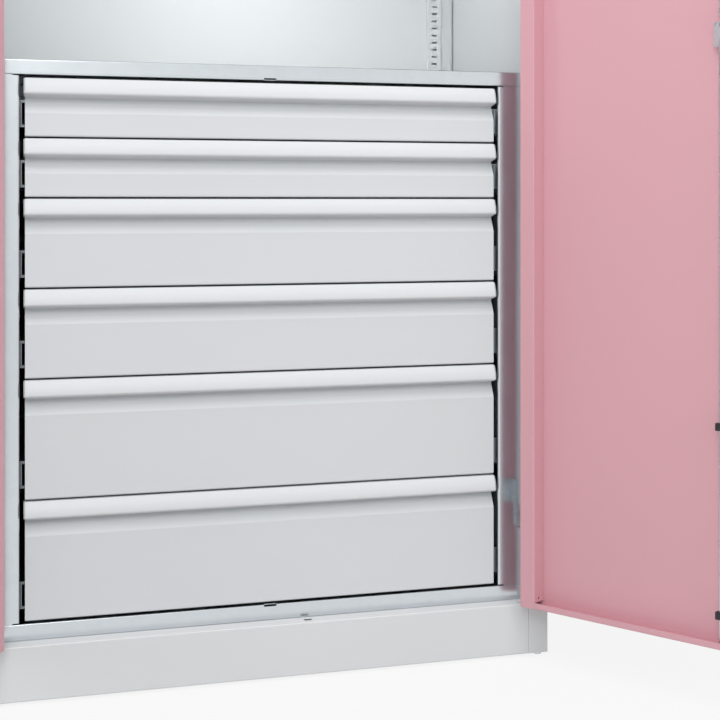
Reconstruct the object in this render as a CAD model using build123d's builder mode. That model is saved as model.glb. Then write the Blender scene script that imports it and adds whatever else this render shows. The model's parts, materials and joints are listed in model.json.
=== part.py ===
from build123d import *
from math import sqrt
import os

# Two-door steel cabinet with a galvanised drawer housing in its lower half.
# Millimetres. X to the right, Y into the cabinet, Z up.
# The origin is on the floor in the middle of the carcass footprint.

# Carcass
CAB_W = 1000.0          # over the side panels
CAB_D = 600.0           # front post face to rear edge
CAB_H = 1950.0          # floor to roof
SHEET = 1.0             # sheet thickness of carcass, doors, housing and drawers
BEND = 2.0              # outer radius of a press-brake fold
FIT = 0.3               # gap between pieces that seat on each other
FOOT_SHOW = 5.0         # height of the carcass above the floor
PLINTH_H = 90.0         # plinth face
LEDGE_D = 40.0          # depth of the plinth ledge and of the head rail
RAIL_LIP = 15.0         # inner lip of ledge and head rail
HEAD_H = 40.0           # head rail face
POST_W = 37.0           # width of the folded front post
POST_D = 30.0           # depth of the folded front post
POST_LIP = 12.0         # inner lip of the post
BACK_FOLD = 15.0        # rear fold of the side panel
FLANGE = 20.0           # ordinary stiffening flange

# Slotted strips, shelves and shelf hooks
STRIP_W = 32.0
STRIP_D = 8.0
STRIP_INSET = 27.0      # rear strip, from its outer edge to the side panel
STRIP_SETBACK = 45.0    # front strip, from the front to its near edge
STRIP_BOTTOM = 1062.0
STRIP_TOP = 1900.0
SLOT_W = 11.0
SLOT_H = 4.4
SLOT_PITCH = 15.6
SLOT_MARGIN = 12.0      # lowest slot above the strip's lower end
SHELF_SLOTS = (26, 41)  # slot that each shelf hangs in, counted from the bottom
SHELF_H = 25.0          # folded height of a shelf
SHELF_SETBACK = 50.0
SHELF_REAR_GAP = 5.0    # shelf to rear strip
SHELF_SIDE_GAP = 3.0    # shelf to side strip
HOOK_T = 2.0
HOOK_W = 9.0
HOOK_DROP = 12.0        # slot centre to the hook's carrying face
HOOK_REACH = 22.0
HOOK_TONGUE = 4.0

# Levelling feet
FOOT_R = 6.5            # half the width over flats of the hexagon head
FOOT_PAD_H = 4.0
FOOT_SCREW_R = 4.0
FOOT_SCREW_TOP = 34.0
FOOT_INSET = 15.0       # foot axis, from the carcass side
FOOT_FRONT = 13.0       # front foot axis, behind the front
FOOT_REAR = 30.0        # rear foot axis, before the back
FOOT_PLATE_T = 3.0
FOOT_PLATE_GAP = 1.0    # plate above the carcass bottom edge
FOOT_TAB_H = 40.0

# Drawer housing
HOUSING_SETBACK = 32.0  # plane of uprights, rail, strip and drawer panels
HOUSING_SIDE_GAP = 1.0  # housing to post
HOUSING_REAR_GAP = 13.0 # housing to the rear edge of the carcass
UPRIGHT_W = 46.5        # broad front upright of a housing side wall
WALL_BEND = 4.0         # outer radius of the upright's inner edge
RAIL_H = 27.5           # base rail face
STRIP_FACE_H = 25.3     # front strip of the top tray
RAIL_FLANGE = 25.0
RELIEF_W = 10.5         # relief slots beside the upright's inner edge
RELIEF_H = 2.0
NOTCH_W = 21.5          # notch in the middle of rail and strip
NOTCH_H = 3.5
WALL_HOLE_R = 3.0
WALL_HOLE_SETBACK = 13.0
WALL_HOLE_RISE = 15.0
REAR_RAIL_SETBACK = 17.0
REAR_RAIL_H = 24.0
FIX_SCREW_R = 3.0
FIX_HEAD_R = 5.0        # half the width over flats
FIX_HEAD_H = 3.5
FIX_X = 300.0

# Drawers, counted from the bottom up to the top one
PITCHES = (200.0, 200.0, 150.0, 150.0, 100.0, 100.0)
ZONE_GAP = 3.1          # base rail to the first boundary
TRAY_GAP = 3.8          # last boundary to the top tray
FRONT_GAP = 2.5         # drawer front to its boundary, below and above
PANEL_SIDE_GAP = 8.5    # drawer front to housing wall
NOSE_CAP = 2.0          # closed end of the nose, beyond the panel
NOSE_REACH = 10.8       # most forward edge of the nose, before the panel plane
NOSE_H = 25.5
NOSE_BREAK = (6.5, 7.0) # forward and down to the knee of the nose
RECESS_D = 16.0         # depth of the finger recess behind the panel plane
RECESS_Z = 31.0         # its deepest line below the top of the nose
CREASE_Z = 57.0         # fold between the sloped return and the flat panel
TOP_FLANGE = 15.0
END_FLANGE = 12.0
PAN_SIDE_GAP = 12.7     # room for the runners
PAN_REAR_GAP = 55.0     # depth of the housing beyond the drawers' depth
PAN_RISE = 8.0          # pan floor above the lower boundary
PAN_DROP = 22.0         # pan rim below the upper boundary
PAN_HEM = 5.0           # folded rim

# Telescopic runners
RUNNER_SETBACK = 19.0   # behind the housing plane, past the folded drawer front
RUNNER_RISE = 40.0      # runner axis above the lower boundary
RUNNER_HALF_H = 22.5
RUNNER_T = 1.2
RUNNER_PLAY = 0.3       # ball race, between two members
MIDDLE_WEB_GAP = 1.0
RUNNER_LIP_GAP = 1.0    # free edges of fixed and drawer members to what they face

# Doors
DOOR_GAP = 3.0          # joint between door and post, and to ledge and head rail
CENTRE_GAP = 1.5        # from the middle of the cabinet to a door
DOOR_DEPTH = 28.5
BOX_W = 31.0            # hollow box section along the hinge side
NOTCH_RISE = 10.5       # box wall cut away above the bottom flange
FLANGE_LIP = 11.0       # up-turned lip of the bottom flange
FREE_FLANGE_RIGHT = 15.0
FREE_FLANGE_LEFT = 18.0
REBATE_REACH = 14.0     # rebate strip past the middle of the cabinet
REBATE_T = 1.2
REBATE_W = 32.0
BOX_HOLE_R = 2.0
BOX_HOLE_RISE = 6.5
DOOR_OPEN = 123.5       # opening angle in the stored pose

# Hinges
PIVOT_OUT = 2.5         # pin axis before the carcass front
KNUCKLE_R = 5.0
PIN_R = 3.0
PIN_PLAY = 0.05
PIN_GRIP_PLAY = 0.02
KNUCKLE_H = 42.0
KNUCKLE_GAP = 0.3
LEAF_T = 2.0
LEAF_D = 24.0
HINGE_Z = 169.7         # lower hinge above the plinth ledge
HINGE_NOTCH_W = 6.0
HINGE_NOTCH_D = 4.5
HINGE_NOTCH_PLAY = 0.6

# Rod lock in the right door
LOCK_X = 63.0           # rod line, from the middle of the cabinet
LOCK_Z = 1100.0
PLATE_W = 38.0
PLATE_H = 150.0
PLATE_T = 3.0
HUB_R = 15.0
HUB_L = 22.0
LEVER_L = 112.0
LEVER_END_R = 8.0
LEVER_T = 11.0
SPINDLE = 8.0
SPINDLE_HOLE_R = 6.5
CYLINDER_R = 7.0
CYLINDER_PLAY = 0.05
CYLINDER_L = 12.0
KEYWAY_W = 1.6
KEYWAY_H = 8.0
CAM_R = 13.0
CAM_T = 3.0
CAM_BACK = 9.0          # cam's near face behind the door skin's outer face
CAM_PIN_R = 2.5
ROD_R = 3.5
ROD_BACK = 16.5         # rod axis behind the door skin's outer face
ROD_THROW = 12.0
ROD_SHORT = 2.0         # rod end inside the door edge when unlocked
YOKE_T = 2.5
YOKE_BACK = 12.6
YOKE_SLOT_PLAY = 0.4
ROD_SLOT_W = 15.5
ROD_SLOT_D = 10.0
ROD_SLOT_BACK = 17.2
ROD_HOLE_R = 5.0
GUIDE_R = 7.0           # half the width of a guide block
GUIDE_H = 12.0
GUIDE_END_GAP = 47.0    # outer guides to the door edges
GUIDE_PANEL_RISE = 124.0  # second guide above a drawer boundary, clear of the noses
GUIDE_LOCK_GAP = 300.0  # third guide above the lock
LEDGE_SLOT_INSET = 13.5 # small slot in the ledge, from the post
LEDGE_SLOT_BACK = 12.7
LEDGE_SLOT_W = 8.0
LEDGE_SLOT_D = 4.0

# Places that follow from the sizes
FRONT = -CAB_D / 2
BACK = CAB_D / 2
SIDE_X = CAB_W / 2
POST_X = SIDE_X - POST_W
ROOF_Z = CAB_H - SHEET
LEDGE_Z = FOOT_SHOW + PLINTH_H
HEAD_Z = ROOF_Z - HEAD_H + SHEET
PANEL_Y = FRONT + HOUSING_SETBACK
HOUSING_BACK = BACK - HOUSING_REAR_GAP
HOUSING_HALF_W = POST_X - HOUSING_SIDE_GAP
WALL_X = HOUSING_HALF_W - UPRIGHT_W
PANEL_HALF_W = WALL_X - PANEL_SIDE_GAP
PAN_HALF_W = WALL_X - PAN_SIDE_GAP
PAN_D = HOUSING_BACK - PANEL_Y - PAN_REAR_GAP
RAIL_TOP = LEDGE_Z + RAIL_H
FIX_Y = PANEL_Y + RAIL_FLANGE / 2 + SHEET
BOUNDARIES = [RAIL_TOP + ZONE_GAP + sum(PITCHES[:i]) for i in range(len(PITCHES) + 1)]
STRIP_Z = BOUNDARIES[-1] + TRAY_GAP
DECK_Z = STRIP_Z + STRIP_FACE_H
WALL_BACK = HOUSING_BACK - BEND
BACK_WALL_Y = BACK - 2 * SHEET
STRIP_FACE_Y = BACK_WALL_Y - STRIP_D
SIDE_WALL_X = SIDE_X - SHEET
STRIP_FACE_X = SIDE_WALL_X - STRIP_D
REAR_STRIP_X = SIDE_X - STRIP_INSET - STRIP_W / 2
FRONT_STRIP_Y = FRONT + STRIP_SETBACK + STRIP_W / 2
FIRST_SLOT_Z = STRIP_BOTTOM + SLOT_MARGIN
SLOT_COUNT = int((STRIP_TOP - SLOT_MARGIN - FIRST_SLOT_Z) / SLOT_PITCH) + 1
DOOR_X = POST_X - DOOR_GAP
DOOR_BOTTOM = LEDGE_Z + DOOR_GAP
DOOR_TOP = HEAD_Z - DOOR_GAP
DOOR_INNER_X = DOOR_X - BOX_W
SEAM_Y = FRONT + SHEET + FIT
PIVOT = (POST_X, FRONT - PIVOT_OUT)
HINGE_ZS = (LEDGE_Z + HINGE_Z, DOOR_TOP - (LEDGE_Z + HINGE_Z - DOOR_BOTTOM))
HINGE_HALF_H = KNUCKLE_H + KNUCKLE_GAP / 2
PAN_FRONT_Y = PANEL_Y + RECESS_D + SHEET + FIT
RUNNER_Y = PANEL_Y + RUNNER_SETBACK
ROD_Y = FRONT + ROD_BACK
ROD_SLOT = (LOCK_X, FRONT + ROD_SLOT_BACK)
CAM_PIN_OFFSET = ROD_THROW / 2
GUIDE_ZS = (
    DOOR_BOTTOM + GUIDE_END_GAP,
    BOUNDARIES[1] + GUIDE_PANEL_RISE,
    LOCK_Z + GUIDE_LOCK_GAP,
    DOOR_TOP - GUIDE_END_GAP - GUIDE_H,
)
SIDES = {"right": 1, "left": -1}

os.makedirs("parts", exist_ok=True)


def save(piece, name):
    """Names a finished piece after its file and writes it."""
    piece.part.label = name
    export_step(piece.part, f"parts/{name}.step")


def fold(plane, points, reach, side=Side.LEFT, radius=BEND, thickness=SHEET, both=False):
    """Bends a sheet along the points on a plane and draws it out; radius 0 gives square corners."""
    with BuildSketch(plane) as section:
        with BuildLine():
            bent = FilletPolyline(*points, radius=radius) if radius else Polyline(*points)
            offset(bent, amount=thickness, kind=Kind.INTERSECTION, side=side, mode=Mode.REPLACE)
        make_face()
    extrude(section.sketch, amount=reach, both=both)


def block(x_span, y_span, z_span, mode=Mode.ADD):
    """A flat plate or a square cut between the given limits."""
    spans = (x_span, y_span, z_span)
    with Locations(tuple(sum(span) / 2 for span in spans)):
        Box(*(span[1] - span[0] for span in spans), mode=mode)


def upright_hole(radius, x, y, z_span, mode=Mode.SUBTRACT):
    """A round hole, or a round bar, along Z."""
    with Locations((x, y, z_span[0])):
        Cylinder(radius, z_span[1] - z_span[0], align=(Align.CENTER, Align.CENTER, Align.MIN), mode=mode)


def hexagon_head(flat_radius, x, y, z_span):
    """A hexagon screw head along Z."""
    with BuildSketch(Plane.XY.offset(z_span[0])) as outline:
        with Locations((x, y)):
            RegularPolygon(flat_radius, 6, major_radius=False)
    extrude(outline.sketch, amount=z_span[1] - z_span[0])


def slot_along_x(centre, width, depth, z_span):
    """A round-ended slot through a level sheet."""
    with BuildSketch(Plane.XY.offset(z_span[0])) as outline:
        with Locations(centre):
            SlotOverall(width, depth)
    extrude(outline.sketch, amount=z_span[1] - z_span[0], mode=Mode.SUBTRACT)


def mirrored(piece):
    """The same piece on the left-hand side."""
    return mirror(piece.part, about=Plane.YZ, mode=Mode.PRIVATE)


# Side panels: the front edge is folded round into a post, the rear edge is folded in
with BuildPart() as side_panel_right:
    fold(
        Plane.XY.offset(FOOT_SHOW),
        [
            (SIDE_X - BACK_FOLD, BACK),
            (SIDE_X, BACK),
            (SIDE_X, FRONT),
            (POST_X, FRONT),
            (POST_X, FRONT + POST_D),
            (POST_X + POST_LIP, FRONT + POST_D),
        ],
        ROOF_Z - FOOT_SHOW,
        side=Side.RIGHT,
    )
    for hinge_z in HINGE_ZS:
        notch_half = HINGE_HALF_H + HINGE_NOTCH_PLAY
        block(
            (POST_X - SHEET, POST_X + HINGE_NOTCH_W),
            (FRONT - SHEET, FRONT + HINGE_NOTCH_D),
            (hinge_z - notch_half, hinge_z + notch_half),
            mode=Mode.SUBTRACT,
        )
save(side_panel_right, "side_panel_right")

with BuildPart() as side_panel_left:
    add(mirrored(side_panel_right))
save(side_panel_left, "side_panel_left")

# Back panel: a shallow tray that lies against the rear folds of the sides
with BuildPart() as back_panel:
    back_half_w = SIDE_X - 2 * BEND
    fold(
        Plane.XY.offset(FOOT_SHOW + SHEET),
        [
            (-back_half_w, BACK - SHEET - POST_LIP),
            (-back_half_w, BACK - SHEET),
            (back_half_w, BACK - SHEET),
            (back_half_w, BACK - SHEET - POST_LIP),
        ],
        ROOF_Z - FOOT_SHOW - SHEET,
        side=Side.RIGHT,
    )
save(back_panel, "back_panel")

# Roof panel: a plate on top with flanges that lie inside the carcass
with BuildPart() as roof_panel:
    block((-SIDE_X, SIDE_X), (FRONT, BACK), (ROOF_Z, CAB_H))
    flange_x = SIDE_WALL_X - FIT
    flange_ys = (FRONT + LEDGE_D + BEND, BACK_WALL_Y - POST_LIP - BEND)
    for side in (-1, 1):
        block(
            tuple(sorted((side * flange_x, side * (flange_x - SHEET)))),
            flange_ys,
            (ROOF_Z - FLANGE, ROOF_Z),
        )
save(roof_panel, "roof_panel")

# Head rail: the folded front member under the roof, with the upper rod slot
with BuildPart() as head_rail:
    fold(
        Plane.YZ.offset(-POST_X + FIT),
        [
            (FRONT + FLANGE, ROOF_Z),
            (FRONT, ROOF_Z),
            (FRONT, HEAD_Z),
            (FRONT + LEDGE_D, HEAD_Z),
            (FRONT + LEDGE_D, HEAD_Z + RAIL_LIP),
        ],
        2 * (POST_X - FIT),
    )
    slot_along_x(ROD_SLOT, ROD_SLOT_W, ROD_SLOT_D, (HEAD_Z - SHEET, HEAD_Z + 2 * SHEET))
save(head_rail, "head_rail")

# Plinth front: face, ledge with the lower rod slot, and lips
with BuildPart() as plinth_front:
    fold(
        Plane.YZ.offset(-POST_X + FIT),
        [
            (FRONT + FLANGE, FOOT_SHOW),
            (FRONT, FOOT_SHOW),
            (FRONT, LEDGE_Z),
            (FRONT + LEDGE_D, LEDGE_Z),
            (FRONT + LEDGE_D, LEDGE_Z - RAIL_LIP),
        ],
        2 * (POST_X - FIT),
        side=Side.RIGHT,
    )
    ledge_cut = (LEDGE_Z - 2 * SHEET, LEDGE_Z + SHEET)
    slot_along_x(ROD_SLOT, ROD_SLOT_W, ROD_SLOT_D, ledge_cut)
    slot_x = POST_X - LEDGE_SLOT_INSET
    for centre in ((-slot_x, FRONT + LEDGE_SLOT_BACK), (slot_x, FRONT + LEDGE_SLOT_BACK)):
        slot_along_x(centre, LEDGE_SLOT_W, LEDGE_SLOT_D, ledge_cut)
save(plinth_front, "plinth_front")

# Floor panel: an inverted tray between the sides, behind the ledge
with BuildPart() as floor_panel:
    floor_front = FRONT + LEDGE_D + FIT
    floor_back = BACK_WALL_Y - POST_LIP - FIT
    with BuildSketch(Plane.XY.offset(LEDGE_Z - FLANGE)):
        with Locations((0, (floor_front + floor_back) / 2)):
            Rectangle(2 * (SIDE_WALL_X - FIT), floor_back - floor_front)
    extrude(amount=FLANGE)
    offset(amount=-SHEET, openings=floor_panel.faces().sort_by(Axis.Z)[0])
    for fix_x in (-FIX_X, FIX_X):
        upright_hole(FIX_SCREW_R + FIT, fix_x, FIX_Y, (LEDGE_Z - 2 * SHEET, LEDGE_Z + SHEET))
save(floor_panel, "floor_panel")

# Slotted strips: two on the back panel and one near the front of each side panel
with BuildPart() as slotted_strips:
    half_w = STRIP_W / 2
    for side in (-1, 1):
        rear_x = side * REAR_STRIP_X
        fold(
            Plane.XY.offset(STRIP_BOTTOM),
            [
                (rear_x - half_w, BACK_WALL_Y),
                (rear_x - half_w, STRIP_FACE_Y),
                (rear_x + half_w, STRIP_FACE_Y),
                (rear_x + half_w, BACK_WALL_Y),
            ],
            STRIP_TOP - STRIP_BOTTOM,
            side=Side.LEFT,
        )
        fold(
            Plane.XY.offset(STRIP_BOTTOM),
            [
                (side * SIDE_WALL_X, FRONT_STRIP_Y - half_w),
                (side * STRIP_FACE_X, FRONT_STRIP_Y - half_w),
                (side * STRIP_FACE_X, FRONT_STRIP_Y + half_w),
                (side * SIDE_WALL_X, FRONT_STRIP_Y + half_w),
            ],
            STRIP_TOP - STRIP_BOTTOM,
            side=Side.RIGHT if side > 0 else Side.LEFT,
        )
    slots_middle = FIRST_SLOT_Z + SLOT_PITCH * (SLOT_COUNT - 1) / 2
    with BuildSketch(Plane.XZ.offset(-STRIP_FACE_Y - 2 * SHEET)):
        with Locations((-REAR_STRIP_X, slots_middle), (REAR_STRIP_X, slots_middle)):
            with GridLocations(0, SLOT_PITCH, 1, SLOT_COUNT):
                Rectangle(SLOT_W, SLOT_H)
    extrude(amount=3 * SHEET, mode=Mode.SUBTRACT)
    for side in (-1, 1):
        with BuildSketch(Plane.YZ.offset(side * (STRIP_FACE_X + SHEET / 2))):
            with Locations((FRONT_STRIP_Y, slots_middle)):
                with GridLocations(0, SLOT_PITCH, 1, SLOT_COUNT):
                    Rectangle(SLOT_W, SLOT_H)
        extrude(amount=2 * SHEET, both=True, mode=Mode.SUBTRACT)
save(slotted_strips, "slotted_strips")


def shelf_bottom(slot):
    """Height of the folded lower edge of the shelf that hangs in a slot."""
    return FIRST_SLOT_Z + slot * SLOT_PITCH - HOOK_DROP


# Shelves: plates with folded edges
shelf_half_w = STRIP_FACE_X - SHELF_SIDE_GAP
shelf_ys = (FRONT + SHELF_SETBACK, STRIP_FACE_Y - SHELF_REAR_GAP)
for name, slot in zip(("shelf_lower", "shelf_upper"), SHELF_SLOTS):
    low = shelf_bottom(slot)
    with BuildPart() as shelf:
        fold(
            Plane.YZ.offset(-shelf_half_w),
            [
                (shelf_ys[0] + POST_LIP, low),
                (shelf_ys[0], low),
                (shelf_ys[0], low + SHELF_H),
                (shelf_ys[1], low + SHELF_H),
                (shelf_ys[1], low),
                (shelf_ys[1] - POST_LIP, low),
            ],
            2 * shelf_half_w,
            side=Side.RIGHT,
        )
        for side in (-1, 1):
            block(
                tuple(sorted((side * shelf_half_w, side * (shelf_half_w - SHEET)))),
                (shelf_ys[0] + BEND, shelf_ys[1] - BEND),
                (low + BEND, low + SHELF_H - SHEET / 2),
            )
    save(shelf, name)

# Shelf hooks: a tongue through the slot, a plate on the strip and a carrying ledge
with BuildPart() as shelf_hooks:
    for slot in SHELF_SLOTS:
        slot_z = FIRST_SLOT_Z + slot * SLOT_PITCH
        hook_path = [
            (-HOOK_TONGUE, slot_z + HOOK_T / 2),
            (FIT + HOOK_T, slot_z + HOOK_T / 2),
            (FIT + HOOK_T, slot_z - HOOK_DROP),
            (HOOK_REACH, slot_z - HOOK_DROP),
        ]
        for side in (-1, 1):
            rear = Plane(
                origin=(side * REAR_STRIP_X, STRIP_FACE_Y, 0), x_dir=(0, -1, 0), z_dir=(-1, 0, 0)
            )
            near = Plane(
                origin=(side * STRIP_FACE_X, FRONT_STRIP_Y, 0), x_dir=(-side, 0, 0), z_dir=(0, side, 0)
            )
            for seat in (rear, near):
                fold(
                    seat, hook_path, HOOK_W / 2, side=Side.RIGHT, radius=0, thickness=HOOK_T, both=True
                )
save(shelf_hooks, "shelf_hooks")

# Foot brackets and levelling feet
foot_x = SIDE_X - FOOT_INSET
foot_ys = (FRONT + FOOT_FRONT, BACK - FOOT_REAR)
plate_z = FOOT_SHOW + FOOT_PLATE_GAP
with BuildPart() as foot_brackets:
    tab_x = SIDE_WALL_X - FIT
    for foot_y, half_d in zip(foot_ys, (FOOT_FRONT - SHEET - BEND, FOOT_REAR / 2)):
        fold(
            Plane.XZ.offset(-foot_y),
            [(tab_x - 2 * FOOT_INSET, plate_z), (tab_x, plate_z), (tab_x, plate_z + FOOT_TAB_H)],
            half_d,
            radius=FOOT_PLATE_T + SHEET / 2,
            thickness=FOOT_PLATE_T,
            both=True,
        )
        upright_hole(FOOT_SCREW_R + PIN_PLAY, foot_x, foot_y, (FOOT_SHOW, plate_z + FOOT_TAB_H))
    mirror(about=Plane.YZ)
save(foot_brackets, "foot_brackets")

with BuildPart() as levelling_feet:
    for foot_y in foot_ys:
        hexagon_head(FOOT_R, foot_x, foot_y, (0, FOOT_PAD_H))
        upright_hole(FOOT_SCREW_R, foot_x, foot_y, (0, FOOT_SCREW_TOP), mode=Mode.ADD)
    mirror(about=Plane.YZ)
save(levelling_feet, "levelling_feet")

# Housing side walls: broad front upright, wall with a rounded inner edge, rear flange
with BuildPart() as housing_side_right:
    fold(
        Plane.XY.offset(LEDGE_Z),
        [
            (HOUSING_HALF_W, PANEL_Y + FLANGE),
            (HOUSING_HALF_W, PANEL_Y),
            (WALL_X, PANEL_Y),
            (WALL_X, WALL_BACK),
            (WALL_X + RAIL_FLANGE, WALL_BACK),
        ],
        DECK_Z - SHEET - LEDGE_Z,
        side=Side.RIGHT,
        radius=[BEND, WALL_BEND, BEND],
    )
    clear_y = (PANEL_Y - SHEET, PANEL_Y + RAIL_FLANGE + FIT)
    clear_x = (WALL_X - SHEET, HOUSING_HALF_W + SHEET)
    for z_span in ((LEDGE_Z - SHEET, RAIL_TOP), (STRIP_Z, DECK_Z)):
        block(clear_x, clear_y, z_span, mode=Mode.SUBTRACT)
    relief_x = (WALL_X + SHEET, WALL_X + SHEET + RELIEF_W)
    for z_span in ((RAIL_TOP, RAIL_TOP + RELIEF_H), (STRIP_Z - RELIEF_H, STRIP_Z)):
        block(relief_x, (PANEL_Y - SHEET, PANEL_Y + WALL_BEND), z_span, mode=Mode.SUBTRACT)
    for boundary in BOUNDARIES[:-1]:
        with Locations(
            Location((WALL_X, PANEL_Y + WALL_HOLE_SETBACK, boundary + WALL_HOLE_RISE), (0, 90, 0))
        ):
            Cylinder(WALL_HOLE_R, 4 * SHEET, mode=Mode.SUBTRACT)
save(housing_side_right, "housing_side_right")

with BuildPart() as housing_side_left:
    add(mirrored(housing_side_right))
save(housing_side_left, "housing_side_left")

# Top tray of the housing: front strip, deck and flanges
with BuildPart() as housing_top_tray:
    fold(
        Plane.YZ.offset(-HOUSING_HALF_W),
        [
            (PANEL_Y + RAIL_FLANGE, STRIP_Z),
            (PANEL_Y, STRIP_Z),
            (PANEL_Y, DECK_Z),
            (HOUSING_BACK, DECK_Z),
            (HOUSING_BACK, DECK_Z - FLANGE),
        ],
        2 * HOUSING_HALF_W,
        side=Side.RIGHT,
    )
    for side in (-1, 1):
        block(
            tuple(sorted((side * HOUSING_HALF_W, side * (HOUSING_HALF_W - SHEET)))),
            (PANEL_Y + RAIL_FLANGE + BEND, HOUSING_BACK - BEND),
            (DECK_Z - FLANGE, DECK_Z - SHEET / 2),
        )
    block(
        (-NOTCH_W / 2, NOTCH_W / 2),
        (PANEL_Y - SHEET, PANEL_Y + 2 * BEND),
        (STRIP_Z - SHEET, STRIP_Z + NOTCH_H),
        mode=Mode.SUBTRACT,
    )
save(housing_top_tray, "housing_top_tray")

# Base rail of the housing
with BuildPart() as housing_base_rail:
    fold(
        Plane.YZ.offset(-HOUSING_HALF_W),
        [
            (PANEL_Y + RAIL_FLANGE, RAIL_TOP),
            (PANEL_Y, RAIL_TOP),
            (PANEL_Y, LEDGE_Z),
            (PANEL_Y + RAIL_FLANGE, LEDGE_Z),
        ],
        2 * HOUSING_HALF_W,
    )
    block(
        (-NOTCH_W / 2, NOTCH_W / 2),
        (PANEL_Y - SHEET, PANEL_Y + 2 * BEND),
        (RAIL_TOP - NOTCH_H, RAIL_TOP + SHEET),
        mode=Mode.SUBTRACT,
    )
    for fix_x in (-FIX_X, FIX_X):
        upright_hole(FIX_SCREW_R + FIT, fix_x, FIX_Y, (LEDGE_Z - SHEET, LEDGE_Z + 2 * SHEET))
save(housing_base_rail, "housing_base_rail")

# Rear rails between the side walls
with BuildPart() as housing_rear_rails:
    rear_rail_y = WALL_BACK - REAR_RAIL_SETBACK
    for low in (LEDGE_Z, DECK_Z - SHEET - REAR_RAIL_H):
        fold(
            Plane.YZ.offset(-WALL_X + FIT),
            [
                (rear_rail_y + POST_LIP, low),
                (rear_rail_y, low),
                (rear_rail_y, low + REAR_RAIL_H),
                (rear_rail_y + POST_LIP, low + REAR_RAIL_H),
            ],
            2 * (WALL_X - FIT),
            side=Side.RIGHT,
        )
save(housing_rear_rails, "housing_rear_rails")

# Screws that hold the base rail to the floor panel
with BuildPart() as housing_screws:
    for fix_x in (-FIX_X, FIX_X):
        head = (LEDGE_Z + SHEET, LEDGE_Z + SHEET + FIX_HEAD_H)
        hexagon_head(FIX_HEAD_R, fix_x, FIX_Y, head)
        upright_hole(FIX_SCREW_R, fix_x, FIX_Y, (LEDGE_Z - 2 * FIX_HEAD_H, head[0]), mode=Mode.ADD)
save(housing_screws, "housing_screws")

# Telescopic runners: three nested channels on each side of each drawer
middle_half_h = RUNNER_HALF_H - RUNNER_T - RUNNER_PLAY
drawer_half_h = middle_half_h - RUNNER_T - RUNNER_PLAY
middle_web_x = WALL_X - RUNNER_T - MIDDLE_WEB_GAP


def channel(z, half_h, web_x, lip_x, turn):
    """One runner member: a channel lying along Y, its web at web_x and its lips ending at lip_x."""
    fold(
        Plane.XZ.offset(-RUNNER_Y),
        [(lip_x, z + half_h), (web_x, z + half_h), (web_x, z - half_h), (lip_x, z - half_h)],
        -PAN_D,
        side=turn,
        radius=0,
        thickness=RUNNER_T,
    )


with BuildPart() as fixed_runners:
    for boundary in BOUNDARIES[:-1]:
        channel(
            boundary + RUNNER_RISE, RUNNER_HALF_H, WALL_X, PAN_HALF_W + RUNNER_LIP_GAP, Side.RIGHT
        )
    mirror(about=Plane.YZ)
save(fixed_runners, "fixed_runners")

for number, low in enumerate(reversed(BOUNDARIES[:-1]), start=1):
    runner_z = low + RUNNER_RISE
    with BuildPart() as middle_runners:
        channel(
            runner_z, middle_half_h, middle_web_x, PAN_HALF_W + RUNNER_T + RUNNER_LIP_GAP, Side.RIGHT
        )
        mirror(about=Plane.YZ)
    save(middle_runners, f"middle_runners_{number}")

    with BuildPart() as drawer_runners:
        channel(
            runner_z, drawer_half_h, PAN_HALF_W, middle_web_x - RUNNER_T - RUNNER_LIP_GAP, Side.LEFT
        )
        mirror(about=Plane.YZ)
    save(drawer_runners, f"drawer_runners_{number}")


def nose_outline(top):
    """Closed outline of the handle nose in the YZ plane, from its top edge down to the underside."""
    knee = (PANEL_Y - NOSE_BREAK[0], top - NOSE_BREAK[1])
    tip = (PANEL_Y - NOSE_REACH, top - NOSE_H)
    root_y = PANEL_Y + RECESS_D - BEND
    return [(root_y, top), (PANEL_Y, top), knee, tip, (root_y, top - RECESS_Z + SHEET)]


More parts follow.
